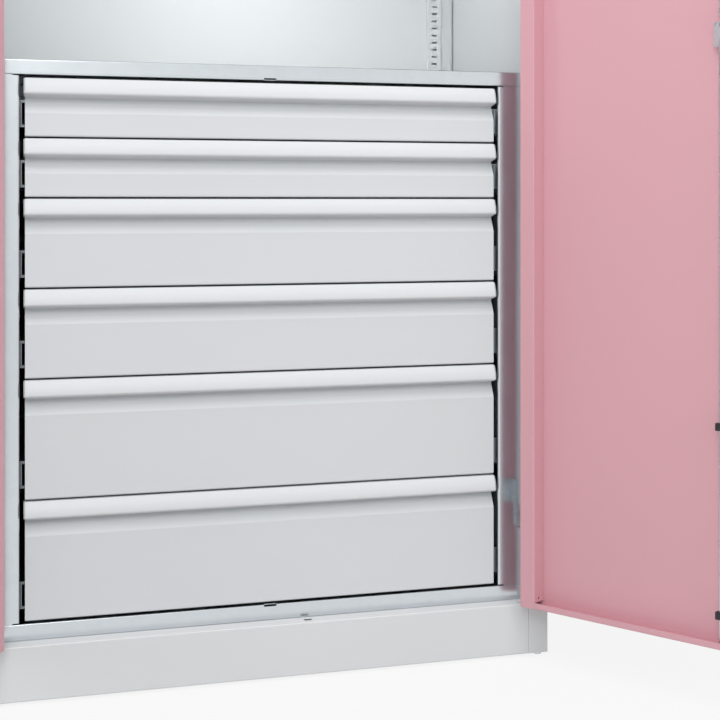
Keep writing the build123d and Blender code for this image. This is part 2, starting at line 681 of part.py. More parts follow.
# Drawers, numbered from the top
for number, index in enumerate(reversed(range(len(PITCHES))), start=1):
    low = BOUNDARIES[index]
    high = BOUNDARIES[index + 1]
    bottom = low + FRONT_GAP
    top = high - FRONT_GAP

    # Front: one sheet folded into nose, finger recess, sloped return and panel
    with BuildPart() as drawer_front:
        fold(
            Plane.YZ.offset(-PANEL_HALF_W),
            [
                (PANEL_Y + TOP_FLANGE, top),
                (PANEL_Y, top),
                (PANEL_Y - NOSE_BREAK[0], top - NOSE_BREAK[1]),
                (PANEL_Y - NOSE_REACH, top - NOSE_H),
                (PANEL_Y + RECESS_D, top - RECESS_Z),
                (PANEL_Y, top - CREASE_Z),
                (PANEL_Y, bottom),
                (PAN_FRONT_Y - FIT, bottom),
                (PAN_FRONT_Y - FIT, bottom + FLANGE),
            ],
            2 * PANEL_HALF_W,
            radius=[BEND, 2 * BEND, BEND, BEND, BEND, BEND, BEND],
        )
        for side in (-1, 1):
            block(
                tuple(sorted((side * PANEL_HALF_W, side * (PANEL_HALF_W - SHEET)))),
                (PANEL_Y + SHEET / 2, PANEL_Y + END_FLANGE),
                (bottom + SHEET / 2, top - CREASE_Z),
            )
            with BuildSketch(Plane.YZ.offset(side * PANEL_HALF_W)):
                with BuildLine():
                    nose = FilletPolyline(*nose_outline(top), radius=[BEND, 2 * BEND, BEND])
                    Line(nose @ 1, nose @ 0)
                make_face()
            extrude(amount=side * NOSE_CAP)
    save(drawer_front, f"drawer_front_{number}")

    # Pan: bottom plate with welded-on walls, each with a folded rim
    with BuildPart() as drawer_pan:
        pan_low = low + PAN_RISE
        pan_high = high - PAN_DROP
        pan_back_y = PAN_FRONT_Y + PAN_D
        wall_low = pan_low + SHEET + FIT
        cross_half_w = PAN_HALF_W - SHEET - FIT
        cross_high = pan_high - SHEET - FIT
        block((-PAN_HALF_W, PAN_HALF_W), (PAN_FRONT_Y, pan_back_y), (pan_low, pan_low + SHEET))
        for wall_x, turn in ((PAN_HALF_W, Side.LEFT), (-PAN_HALF_W, Side.RIGHT)):
            rim_x = wall_x * (1 - PAN_HEM / PAN_HALF_W)
            fold(
                Plane.XZ.offset(-PAN_FRONT_Y),
                [(wall_x, wall_low), (wall_x, pan_high), (rim_x, pan_high)],
                -PAN_D,
                side=turn,
                radius=0,
            )
        for wall_y, rim_y, turn in (
            (PAN_FRONT_Y, PAN_FRONT_Y + PAN_HEM, Side.RIGHT),
            (pan_back_y, pan_back_y - PAN_HEM, Side.LEFT),
        ):
            fold(
                Plane.YZ.offset(-cross_half_w),
                [(wall_y, wall_low), (wall_y, cross_high), (rim_y, cross_high)],
                2 * cross_half_w,
                side=turn,
                radius=0,
            )
    save(drawer_pan, f"drawer_pan_{number}")


def swung(piece, side):
    """A door piece, made closed on the right, turned open and brought to its own side."""
    axis = Axis((PIVOT[0], PIVOT[1], 0), (0, 0, 1))
    opened = piece.part.rotate(axis, DOOR_OPEN)
    return opened if side > 0 else mirror(opened, about=Plane.YZ, mode=Mode.PRIVATE)


# Doors, made closed as on the right-hand side: a skin with its free flange, a box section
# welded to it along the hinge side, and a flange with a lip at each end
for name, side in SIDES.items():
    free_flange = FREE_FLANGE_RIGHT if side > 0 else FREE_FLANGE_LEFT
    with BuildPart() as closed_door:
        fold(
            Plane.XY.offset(DOOR_BOTTOM),
            [
                (CENTRE_GAP, FRONT + free_flange),
                (CENTRE_GAP, FRONT),
                (DOOR_X, FRONT),
            ],
            DOOR_TOP - DOOR_BOTTOM,
        )
        fold(
            Plane.XY.offset(DOOR_BOTTOM),
            [
                (DOOR_INNER_X, FRONT + DOOR_DEPTH / 2),
                (DOOR_INNER_X, FRONT + DOOR_DEPTH),
                (DOOR_X, FRONT + DOOR_DEPTH),
                (DOOR_X, SEAM_Y),
                (DOOR_INNER_X + 2 * BEND, SEAM_Y),
            ],
            DOOR_TOP - DOOR_BOTTOM,
            side=Side.RIGHT,
        )
        block(
            (DOOR_INNER_X, DOOR_INNER_X + SHEET),
            (SEAM_Y, FRONT + DOOR_DEPTH / 2),
            (DOOR_BOTTOM, DOOR_TOP),
        )
        lip_end = FRONT + DOOR_DEPTH
        flange_x = CENTRE_GAP + BEND
        for edge_z, lip_z in (
            (DOOR_BOTTOM, DOOR_BOTTOM + FLANGE_LIP),
            (DOOR_TOP, DOOR_TOP - FLANGE_LIP),
        ):
            fold(
                Plane.YZ.offset(flange_x),
                [(SEAM_Y, edge_z), (lip_end, edge_z), (lip_end, lip_z)],
                DOOR_INNER_X - FIT - flange_x,
                side=Side.LEFT if lip_z > edge_z else Side.RIGHT,
            )
            block(
                (DOOR_INNER_X, DOOR_X - SHEET / 2),
                (SEAM_Y, lip_end - SHEET / 2),
                tuple(sorted((edge_z, edge_z + (SHEET if lip_z > edge_z else -SHEET)))),
            )
        block(
            (DOOR_INNER_X - SHEET, DOOR_INNER_X + 2 * SHEET),
            (SEAM_Y - FIT / 2, FRONT + DOOR_DEPTH - BEND),
            (DOOR_BOTTOM + SHEET, DOOR_BOTTOM + NOTCH_RISE),
            mode=Mode.SUBTRACT,
        )
        hole_z = DOOR_BOTTOM + NOTCH_RISE + BOX_HOLE_RISE
        with Locations(Location((DOOR_INNER_X, FRONT + DOOR_DEPTH / 2, hole_z), (0, 90, 0))):
            Cylinder(BOX_HOLE_R, 4 * SHEET, mode=Mode.SUBTRACT)
        for hinge_z in HINGE_ZS:
            notch_half = HINGE_HALF_H + HINGE_NOTCH_PLAY
            block(
                (DOOR_X - HINGE_NOTCH_W + SHEET, DOOR_X + SHEET),
                (FRONT - SHEET, FRONT + HINGE_NOTCH_D),
                (hinge_z - notch_half, hinge_z + notch_half),
                mode=Mode.SUBTRACT,
            )
        if side > 0:
            for z_span in (
                (DOOR_BOTTOM - SHEET, DOOR_BOTTOM + 2 * SHEET),
                (DOOR_TOP - 2 * SHEET, DOOR_TOP + SHEET),
            ):
                upright_hole(ROD_HOLE_R, LOCK_X, ROD_Y, z_span)
            with Locations(Location((LOCK_X, FRONT, LOCK_Z), (90, 0, 0))):
                Cylinder(SPINDLE_HOLE_R, 4 * SHEET, mode=Mode.SUBTRACT)
    with BuildPart() as door_panel:
        add(swung(closed_door, side))
    save(door_panel, f"door_panel_{name}")

    # Hinge halves: the upper one on the door, the lower one on the post
    with BuildPart() as closed_leaves:
        for hinge_z in HINGE_ZS:
            z_span = (hinge_z + KNUCKLE_GAP / 2, hinge_z + HINGE_HALF_H)
            upright_hole(KNUCKLE_R, *PIVOT, z_span, mode=Mode.ADD)
            block((DOOR_X, DOOR_X + LEAF_T), (PIVOT[1], FRONT + LEAF_D), z_span)
            upright_hole(PIN_R + PIN_PLAY, *PIVOT, z_span)
    with BuildPart() as hinge_door_leaves:
        add(swung(closed_leaves, side))
    save(hinge_door_leaves, f"hinge_door_leaves_{name}")

    with BuildPart() as frame_leaves:
        for hinge_z in HINGE_ZS:
            z_span = (hinge_z - HINGE_HALF_H, hinge_z - KNUCKLE_GAP / 2)
            upright_hole(KNUCKLE_R, *PIVOT, z_span, mode=Mode.ADD)
            block((POST_X - LEAF_T, POST_X), (PIVOT[1], FRONT + LEAF_D), z_span)
            upright_hole(PIN_R + PIN_GRIP_PLAY, *PIVOT, z_span)
    with BuildPart() as hinge_frame_leaves:
        add(frame_leaves.part if side > 0 else mirrored(frame_leaves))
    save(hinge_frame_leaves, f"hinge_frame_leaves_{name}")

# Hinge pins, held in the lower knuckles
with BuildPart() as hinge_pins:
    for hinge_z in HINGE_ZS:
        upright_hole(PIN_R, *PIVOT, (hinge_z - HINGE_HALF_H, hinge_z + HINGE_HALF_H), mode=Mode.ADD)
    mirror(about=Plane.YZ)
save(hinge_pins, "hinge_pins")

# Rebate strip on the left door: covers the joint between the doors
with BuildPart() as closed_strip:
    strip_y = FRONT + FREE_FLANGE_LEFT
    fold(
        Plane.XY.offset(DOOR_BOTTOM + FLANGE),
        [
            (-REBATE_REACH, strip_y),
            (REBATE_W - REBATE_REACH, strip_y),
            (REBATE_W - REBATE_REACH, strip_y - POST_LIP),
        ],
        DOOR_TOP - DOOR_BOTTOM - 2 * FLANGE,
        side=Side.LEFT,
        thickness=REBATE_T,
    )
with BuildPart() as rebate_strip:
    add(swung(closed_strip, -1))
save(rebate_strip, "rebate_strip")

# Lock: escutcheon on the outside of the right door
skin = Plane.XZ.offset(-FRONT)
with BuildPart() as closed_plate:
    with BuildSketch(skin):
        with Locations((LOCK_X, LOCK_Z)):
            RectangleRounded(PLATE_W, PLATE_H, PLATE_W / 4)
            Circle(SPINDLE_HOLE_R, mode=Mode.SUBTRACT)
    extrude(amount=PLATE_T)
    chamfer(closed_plate.faces().sort_by(Axis.Y)[0].outer_wire().edges(), length=SHEET)
with BuildPart() as handle_escutcheon:
    add(swung(closed_plate, 1))
save(handle_escutcheon, "handle_escutcheon")

# Lever handle with its hub, bored for the key cylinder
hub_base = PLATE_T + FIT
hub_face = hub_base + HUB_L
with BuildPart() as closed_handle:
    with BuildSketch(skin.offset(hub_base)):
        with Locations((LOCK_X, LOCK_Z)):
            Circle(HUB_R)
    extrude(amount=HUB_L)
    with BuildSketch(skin.offset(hub_face - LEVER_T)):
        with BuildLine():
            CenterArc((LOCK_X, LOCK_Z), HUB_R - BEND, 0, 360)
            CenterArc((LOCK_X + LEVER_L, LOCK_Z), LEVER_END_R, 0, 360)
        make_hull()
    extrude(amount=LEVER_T)
    chamfer(closed_handle.faces().sort_by(Axis.Y)[0].outer_wire().edges(), length=BEND)
    with BuildSketch(skin.offset(hub_face)):
        with Locations((LOCK_X, LOCK_Z)):
            Circle(CYLINDER_R)
    extrude(amount=-CYLINDER_L, mode=Mode.SUBTRACT)
with BuildPart() as lock_handle:
    add(swung(closed_handle, 1))
save(lock_handle, "lock_handle")

with BuildPart() as closed_cylinder:
    with BuildSketch(skin.offset(hub_face)):
        with Locations((LOCK_X, LOCK_Z)):
            Circle(CYLINDER_R - CYLINDER_PLAY)
    extrude(amount=-CYLINDER_L + FIT)
    with BuildSketch(skin.offset(hub_face)):
        with Locations((LOCK_X, LOCK_Z)):
            Rectangle(KEYWAY_W, KEYWAY_H)
    extrude(amount=-CYLINDER_L / 2, mode=Mode.SUBTRACT)
with BuildPart() as lock_cylinder:
    add(swung(closed_cylinder, 1))
save(lock_cylinder, "lock_cylinder")

# Cam behind the skin, with its square spindle and two pins
with BuildPart() as closed_cam:
    with BuildSketch(skin.offset(-CAM_BACK)):
        with Locations((LOCK_X, LOCK_Z)):
            Circle(CAM_R)
    extrude(amount=-CAM_T)
    with BuildSketch(skin.offset(-CAM_BACK)):
        with Locations((LOCK_X, LOCK_Z)):
            Circle(CAM_R - 2 * BEND)
    extrude(amount=CAM_BACK - SHEET - FIT)
    with BuildSketch(skin.offset(hub_base)):
        with Locations((LOCK_X, LOCK_Z)):
            Rectangle(SPINDLE, SPINDLE)
    extrude(amount=-hub_base - CAM_BACK)
    with BuildSketch(skin.offset(-CAM_BACK - CAM_T)):
        with Locations(
            (LOCK_X - CAM_PIN_OFFSET, LOCK_Z - CAM_PIN_OFFSET),
            (LOCK_X + CAM_PIN_OFFSET, LOCK_Z + CAM_PIN_OFFSET),
        ):
            Circle(CAM_PIN_R)
    extrude(amount=-(YOKE_BACK + YOKE_T - CAM_BACK - CAM_T + FIT))
with BuildPart() as lock_cam:
    add(swung(closed_cam, 1))
save(lock_cam, "lock_cam")


def lock_rod(up):
    """Rod with its yoke plate; up is +1 for the upper rod and -1 for the lower one."""
    end_z = DOOR_TOP - ROD_SHORT if up > 0 else DOOR_BOTTOM + ROD_SHORT
    start_z = LOCK_Z + up * (CAM_R + FLANGE / 4)
    pin_z = -up * CAM_PIN_OFFSET
    pin_reach = CAM_PIN_OFFSET * sqrt(2)
    slot_low = CAM_PIN_OFFSET - CAM_PIN_R - YOKE_SLOT_PLAY
    slot_high = pin_reach + CAM_PIN_R + YOKE_SLOT_PLAY
    outer = slot_high + BEND + SHEET
    yoke_end = start_z + up * POST_LIP
    with BuildPart() as rod:
        upright_hole(ROD_R, LOCK_X, ROD_Y, tuple(sorted((start_z, end_z))), mode=Mode.ADD)
        with BuildSketch(skin.offset(-YOKE_BACK)):
            with BuildLine():
                Polyline(
                    (LOCK_X - up * outer, LOCK_Z + pin_z - up * (CAM_PIN_R + BEND)),
                    (LOCK_X - up * FIT, LOCK_Z + pin_z - up * (CAM_PIN_R + BEND)),
                    (LOCK_X - up * FIT, start_z),
                    (LOCK_X + up * ROD_R, start_z),
                    (LOCK_X + up * ROD_R, yoke_end),
                    (LOCK_X - up * outer, yoke_end),
                    close=True,
                )
            make_face()
            with Locations((LOCK_X - up * (slot_low + slot_high) / 2, LOCK_Z + pin_z)):
                Rectangle(
                    slot_high - slot_low, 2 * (CAM_PIN_R + YOKE_SLOT_PLAY), mode=Mode.SUBTRACT
                )
        extrude(amount=-YOKE_T)
    return rod


for name, up in (("lock_rod_upper", 1), ("lock_rod_lower", -1)):
    closed_rod = lock_rod(up)
    with BuildPart() as open_rod:
        add(swung(closed_rod, 1))
    save(open_rod, name)

# Rod guides on the door skin
with BuildPart() as closed_guides:
    for guide_z in GUIDE_ZS:
        with BuildSketch(Plane.XY.offset(guide_z)):
            with Locations((LOCK_X, (ROD_Y + GUIDE_R + FRONT + SHEET) / 2)):
                Rectangle(2 * GUIDE_R, ROD_Y + GUIDE_R - FRONT - SHEET)
            with Locations((LOCK_X, ROD_Y)):
                Circle(ROD_R + FIT, mode=Mode.SUBTRACT)
        extrude(amount=GUIDE_H)
with BuildPart() as rod_guides:
    add(swung(closed_guides, 1))
save(rod_guides, "rod_guides")
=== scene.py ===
import json
import math

import bmesh
import bpy
from mathutils import Matrix, Vector

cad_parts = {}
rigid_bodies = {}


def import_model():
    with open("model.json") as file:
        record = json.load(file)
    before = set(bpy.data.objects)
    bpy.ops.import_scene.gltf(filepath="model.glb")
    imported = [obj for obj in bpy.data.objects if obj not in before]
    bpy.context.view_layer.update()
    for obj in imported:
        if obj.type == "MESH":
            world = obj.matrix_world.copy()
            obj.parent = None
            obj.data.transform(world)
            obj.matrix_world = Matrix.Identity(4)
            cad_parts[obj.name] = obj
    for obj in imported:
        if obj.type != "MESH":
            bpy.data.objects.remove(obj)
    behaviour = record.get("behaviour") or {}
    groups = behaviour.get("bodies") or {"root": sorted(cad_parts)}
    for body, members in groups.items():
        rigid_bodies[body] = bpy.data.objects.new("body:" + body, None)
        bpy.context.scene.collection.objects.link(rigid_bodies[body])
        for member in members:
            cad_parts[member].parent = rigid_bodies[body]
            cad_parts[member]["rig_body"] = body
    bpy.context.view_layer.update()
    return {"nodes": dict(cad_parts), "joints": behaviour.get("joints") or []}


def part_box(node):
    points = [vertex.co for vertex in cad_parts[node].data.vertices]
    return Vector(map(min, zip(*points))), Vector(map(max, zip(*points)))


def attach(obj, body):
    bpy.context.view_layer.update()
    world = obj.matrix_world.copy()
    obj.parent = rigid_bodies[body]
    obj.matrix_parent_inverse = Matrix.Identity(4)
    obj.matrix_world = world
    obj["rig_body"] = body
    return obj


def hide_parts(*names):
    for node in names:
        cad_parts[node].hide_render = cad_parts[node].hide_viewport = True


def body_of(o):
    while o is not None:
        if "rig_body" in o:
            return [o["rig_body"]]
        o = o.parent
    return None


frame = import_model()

bl_info = {
    "name": "Sheet-Metal Cabinet",
    "version": (1, 0, 0),
    "blender": (4, 5, 0),
    "location": "3D View > Sidebar > Cabinet",
    "description": "Finishes a two-door steel cabinet with a galvanised drawer housing",
    "category": "Object",
}

MM = 0.001
NODES = frame["nodes"]
DRAWERS = range(1, 7)

# Places that the frame gives, in millimetres and degrees
PANEL_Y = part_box("housing_base_rail")[0][1] / MM  # plane of the drawer panels
PAN_FRONT_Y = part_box("drawer_pan_1")[0][1] / MM
PAN_SIDE_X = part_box("drawer_pan_1")[1][0] / MM
HINGE_JOINT = next(joint for joint in frame["joints"] if joint["name"] == "door_right_hinge")
PIVOT = tuple(c / MM for c in HINGE_JOINT["pos_m"][:2])
DOOR_OPEN = -HINGE_JOINT["range_deg"][0]

# Folded drawer front: steps out of the panel plane and down from its top edge, and outer bend radii
TOP_FLANGE = 15.0
CAP_DEPTH = 14.0            # closed ends of the nose, behind the panel plane
CAP_DROP = 30.0
NOSE_SHOULDER = (8.6, 11.0)
NOSE_EDGE = (10.0, 25.5)    # most forward line of the nose, where it turns in under
RECESS = (16.0, 31.0)       # deepest line of the finger recess, behind the panel plane
CREASE_DROP = 57.0          # fold between sloped return and flat panel
FOOT_FLANGE = 17.0
FOOT_LIP = 20.0
FOLD_R = 2.0
NOSE_R = 37.0
NOSE_EDGE_R = 3.0
CAP_CORNER_R = 0.5
END_FLANGE_MIDDLE = 6.3     # behind the panel plane
END_FLANGE_DEPTH = 11.4
END_FLANGE_GAP = 0.5        # above the bottom fold

# Fasteners, in millimetres
PAN_SHEET = 1.0
RUNNER_RIVET_REACH = (45.0, 250.0, 455.0)
FRONT_RIVET_X = (-330, -110, 110, 330)
FRONT_RIVET_DROP = 28.0     # below the runner axis
HINGE_ZS = (264.7, 1740.3)
LEAF_Y = -286.0             # middle of the hinge leaves
LEAF_OFF = 21.0             # middle of a leaf above or below its hinge
LEAF_SCREW_OFF = 12.0
POST_LEAF_T = 2.0
DOOR_LEAF_GAP = 1.0
LOCK = (63.0, -303.0, 1100.0)
ESCUTCHEON_SCREW_OFF = 62.0
SCREW_RECESS = 1.1
DOME_RIVET = ((2.6, -0.2), (2.6, 0.05), (2.45, 0.45), (2.0, 0.85), (1.25, 1.12), (0.6, 1.2))
SOCKET_SCREW = ((3.2, -0.4), (3.2, 0.15), (3.05, 0.3), (1.9, 0.42))

# Lamps in metres and watts: name, place, target, width and height, power, spread in degrees
LAMPS = [
    ("overhead", (0.0, -1.6, 4.0), (0, 0, 0.4), (2.4, 2.4), 64.0, 180),
    ("key", (-0.9, -3.0, 2.3), (0, 0, 0.6), (1.4, 1.4), 30.0, 180),
    ("left", (-3.6, -1.8, 1.4), (0, 0, 1.0), (2.0, 2.0), 25.0, 180),
    ("right", (1.7, -3.0, 1.5), (0.3, 0, 0.7), (1.0, 1.0), 13.0, 180),
    # A weak strip under the front edge of each shelf and of the roof, turned to the back wall
    *(
        (f"strip {z}", (-0.05, -0.2, z), (-0.05, 0.3, z - 0.2), (0.9, 0.05), 1.15, 120)
        for z in (1.43, 1.66, 1.89)
    ),
    ("side wall", (-0.4, -0.05, 1.38), (0.45, 0.05, 1.3), (0.3, 0.06), 0.65, 90),
]
FLOOR_REACH = 14.0
FLOOR_WHITE = 0.86          # share of the floor that is plain white to the eye; the rest takes shadow
ROOM_LIGHT = 0.55

WELD = 0.01 * MM            # points nearer than this become one
SHARP_FOLD = 28.0           # degrees; steeper edges stay crisp in what the node trees make


# Helpers


def linear(hex_colour):
    """sRGB hex to linear RGB."""
    parts = [int(hex_colour[i : i + 2], 16) / 255 for i in (0, 2, 4)]
    return tuple(c / 12.92 if c <= 0.04045 else ((c + 0.055) / 1.055) ** 2.4 for c in parts)


def add(tree, kind, inputs=None, **settings):
    """Adds a node with its settings; an input is a value, the socket that feeds it or a list of sockets."""
    made = tree.nodes.new(kind)
    for name, value in settings.items():
        setattr(made, name, value)
    for name, value in (inputs or {}).items():
        for feed in value if isinstance(value, list) else [value]:
            if isinstance(feed, bpy.types.NodeSocket):
                tree.links.new(feed, made.inputs[name])
            else:
                made.inputs[name].default_value = feed
    return made


def blank_material(name):
    """A new material with an empty node tree."""
    material = bpy.data.materials.new(name)
    material.use_nodes = True
    material.node_tree.nodes.clear()
    return material


def link(mesh, name):
    """A mesh becomes an object at the origin."""
    piece = bpy.data.objects.new(name, mesh)
    bpy.context.scene.collection.objects.link(piece)
    return piece


def evaluated_mesh(piece, name):
    """The piece with its modifiers applied, as a plain mesh; the working object is removed."""
    graph = bpy.context.evaluated_depsgraph_get()
    mesh = bpy.data.meshes.new_from_object(piece.evaluated_get(graph), depsgraph=graph)
    mesh.name = name
    bpy.data.objects.remove(piece)
    return mesh


def give(piece, material):
    """One material all over."""
    piece.data.materials.clear()
    piece.data.materials.append(material)


def flatten_flats(piece):
    """Large faces set the normals, so flats stay evenly shaded up to their folds."""
    weighted = piece.modifiers.new("Flat flats", "WEIGHTED_NORMAL")
    weighted.keep_sharp, weighted.weight = True, 80


def smooth_copy(node, material, angle=26.0, bevel=0.0):
    """A merged copy of a CAD node with smooth folds, flat flats and, for thick parts, eased edges."""
    source = NODES[node]
    work = bmesh.new()
    work.from_mesh(source.data)
    bmesh.ops.remove_doubles(work, verts=work.verts, dist=WELD)
    if bevel:
        flat = math.radians(0.05)
        bmesh.ops.dissolve_limit(work, angle_limit=flat, verts=work.verts, edges=work.edges)
    mesh = bpy.data.meshes.new(node + "_skin")
    work.to_mesh(mesh)
    work.free()
    mesh.transform(source.matrix_world)
    mesh.shade_smooth()
    mesh.set_sharp_from_angle(angle=math.radians(angle))
    working = link(mesh, "work")
    if bevel:
        edges = working.modifiers.new("Eased edges", "BEVEL")
        edges.width, edges.segments = bevel * MM, 3
        edges.limit_method, edges.angle_limit = "ANGLE", math.radians(angle)
        edges.use_clamp_overlap = True
    flatten_flats(working)
    piece = link(evaluated_mesh(working, node + "_skin"), node + "_skin")
    give(piece, material)
    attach(piece, body_of(source)[0])
    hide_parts(node)


# Materials


def powder_coat(name, hex_colour, roughness):
    """Powder coat on sheet steel, sprayed and baked: an even satin skin with a fine orange peel."""
    material = blank_material(name)
    tree = material.node_tree
    place = add(tree, "ShaderNodeTexCoord").outputs["Object"]
    # Orange peel is about 1 mm across; it is drawn 3 mm wide so that it still shows
    peel = add(tree, "ShaderNodeTexNoise", {"Vector": place, "Scale": 1 / (3 * MM), "Detail": 2.0})
    # Rolled sheet is never quite flat: waves about 180 mm long bend the sheen
    waves = add(tree, "ShaderNodeTexNoise", {"Vector": place, "Scale": 1 / (180 * MM), "Detail": 0.0})
    bent = add(
        tree, "ShaderNodeBump",
        {"Height": waves.outputs["Fac"], "Strength": 0.35, "Distance": 0.6 * MM},
    )
    grain = add(
        tree, "ShaderNodeBump",
        {
            "Height": peel.outputs["Fac"], "Strength": 0.12, "Distance": 0.08 * MM,
            "Normal": bent.outputs["Normal"],
        },
    )
    cloud = add(tree, "ShaderNodeTexNoise", {"Vector": place, "Scale": 1 / (320 * MM), "Detail": 3.0})
    full = linear(hex_colour)
    thin = tuple(c * 0.965 for c in full)
    tint = add(
        tree, "ShaderNodeMix",
        {0: cloud.outputs["Fac"], 6: (*thin, 1), 7: (*full, 1)},
        data_type="RGBA",
    )
    gloss = add(
        tree, "ShaderNodeMapRange",
        {"Value": peel.outputs["Fac"], "To Min": roughness - 0.04, "To Max": roughness + 0.04},
    )
    coat = add(
        tree, "ShaderNodeBsdfPrincipled",
        {
            "Base Color": tint.outputs[2], "Roughness": gloss.outputs["Result"],
            "IOR": 1.5, "Normal": grain.outputs["Normal"],
        },
    )
    add(tree, "ShaderNodeOutputMaterial", {"Surface": coat.outputs[0]})
    return material


def zinc_sheet(name, hex_colour, roughness, spangle_mm, wave):
    """Zinc on steel: a cool mirror that is a little cloudy, with crystals that hardly show."""
    material = blank_material(name)
    tree = material.node_tree
    place = add(tree, "ShaderNodeTexCoord").outputs["Object"]
    crystals = add(
        tree, "ShaderNodeTexVoronoi",
        {"Vector": place, "Scale": 1 / (spangle_mm * MM), "Randomness": 1.0},
    )
    haze = add(tree, "ShaderNodeTexNoise", {"Vector": place, "Scale": 1 / (45 * MM), "Detail": 4.0})
    waves = add(tree, "ShaderNodeTexNoise", {"Vector": place, "Scale": 1 / (110 * MM), "Detail": 0.0})
    bent = add(
        tree, "ShaderNodeBump",
        {"Height": waves.outputs["Fac"], "Strength": wave, "Distance": 0.5 * MM},
    )
    full = linear(hex_colour)
    dull = tuple(c * 0.975 for c in full)
    grey = add(tree, "ShaderNodeSeparateColor", {"Color": crystals.outputs["Color"]})
    tint = add(
        tree, "ShaderNodeMix",
        {0: grey.outputs["Red"], 6: (*dull, 1), 7: (*full, 1)},
        data_type="RGBA",
    )
    gloss = add(
        tree, "ShaderNodeMapRange",
        {"Value": haze.outputs["Fac"], "To Min": roughness - 0.04, "To Max": roughness + 0.05},
    )
    metal = add(
        tree, "ShaderNodeBsdfPrincipled",
        {
            "Base Color": tint.outputs[2], "Metallic": 1.0,
            "Roughness": gloss.outputs["Result"], "Normal": bent.outputs["Normal"],
        },
    )
    add(tree, "ShaderNodeOutputMaterial", {"Surface": metal.outputs[0]})
    return material


def moulded_plastic(name, hex_colour):
    """Glass-filled polyamide, injection moulded in a grained tool: dull black with a fine grain."""
    material = blank_material(name)
    tree = material.node_tree
    place = add(tree, "ShaderNodeTexCoord").outputs["Object"]
    # Tool grain of 0.3 mm is drawn 0.8 mm wide so that it still shows
    grain = add(tree, "ShaderNodeTexNoise", {"Vector": place, "Scale": 1 / (0.8 * MM), "Detail": 2.0})
    bump = add(
        tree, "ShaderNodeBump",
        {"Height": grain.outputs["Fac"], "Strength": 0.4, "Distance": 0.06 * MM},
    )
    gloss = add(
        tree, "ShaderNodeMapRange",
        {"Value": grain.outputs["Fac"], "To Min": 0.42, "To Max": 0.58},
    )
    plastic = add(
        tree, "ShaderNodeBsdfPrincipled",
        {
            "Base Color": (*linear(hex_colour), 1), "Roughness": gloss.outputs["Result"],
            "IOR": 1.53, "Normal": bump.outputs["Normal"],
        },
    )
    add(tree, "ShaderNodeOutputMaterial", {"Surface": plastic.outputs[0]})
    return material


def make_finish(key):
    """The material of one finish: its maker with the values that set it apart."""
    s = bpy.context.scene.cabinet_finish
    if key == "carcass":
        return powder_coat("Light grey powder coat", s.carcass_hex, 0.5)
    if key == "drawer":
        # A little glossier than the carcass, so the noses catch a soft highlight
        return powder_coat("Light grey powder coat on drawers", s.drawer_hex, 0.46)
    if key == "door":
        return powder_coat("Pink powder coat", s.door_hex, 0.5)
    if key == "galvanised":
        # Bright enough to mirror the open door, with wide crystals
        roughness = s.galvanised_roughness
        return zinc_sheet("Hot-dip galvanised sheet", s.galvanised_hex, roughness, 14, 0.14)
    if key == "zinc":
        return zinc_sheet("Bright zinc plate on rolled steel", s.zinc_hex, 0.27, 4, 0.15)
    if key == "runner":
        # Painted shade: the runner zinc is darkened so that the runners stay quiet in the shaded gaps
        return zinc_sheet("Zinc plate on runner steel darkened as painted shade", s.runner_shade_hex, 0.33, 4, 0.15)
    if key == "plastic":
        return moulded_plastic("Black grained polyamide", s.plastic_hex)
    raise ValueError("no such finish: " + key)


MADE = {}


def finish(key):
    """The material of a finish, made at its first use."""
    if key not in MADE:
        MADE[key] = make_finish(key)
    return MADE[key]


def seen_by_rays(tree):
    """1 where the background is looked at, straight or in metal or glass, and 0 where it is a light."""
    path = add(tree, "ShaderNodeLightPath")
    seen = path.outputs["Is Camera Ray"]
    for kind in ("Is Glossy Ray", "Is Transmission Ray"):
        either = add(tree, "ShaderNodeMath", {0: seen, 1: path.outputs[kind]}, operation="MAXIMUM")
        seen = either.outputs[0]
    return seen


# Node trees


def new_tree(name, sockets):
    """A Geometry Nodes tree with the given inputs, and its group input node."""
    tree = bpy.data.node_groups.new(name, "GeometryNodeTree")
    for label, kind, default in sockets:
        socket = tree.interface.new_socket(label, in_out="INPUT", socket_type=kind)
        if default is not None:
            socket.default_value = default
    tree.interface.new_socket("Geometry", in_out="OUTPUT", socket_type="NodeSocketGeometry")
    return tree, add(tree, "NodeGroupInput")


def set_inputs(modifier, values):
    """Sets a modifier's inputs by the identifiers of their sockets."""
    wanted = dict(values)
    for item in modifier.node_group.interface.items_tree:
        if item.item_type == "SOCKET" and item.in_out == "INPUT" and item.name in wanted:
            modifier[item.identifier] = wanted.pop(item.name)
    if wanted:
        raise ValueError("no such inputs: " + ", ".join(wanted))


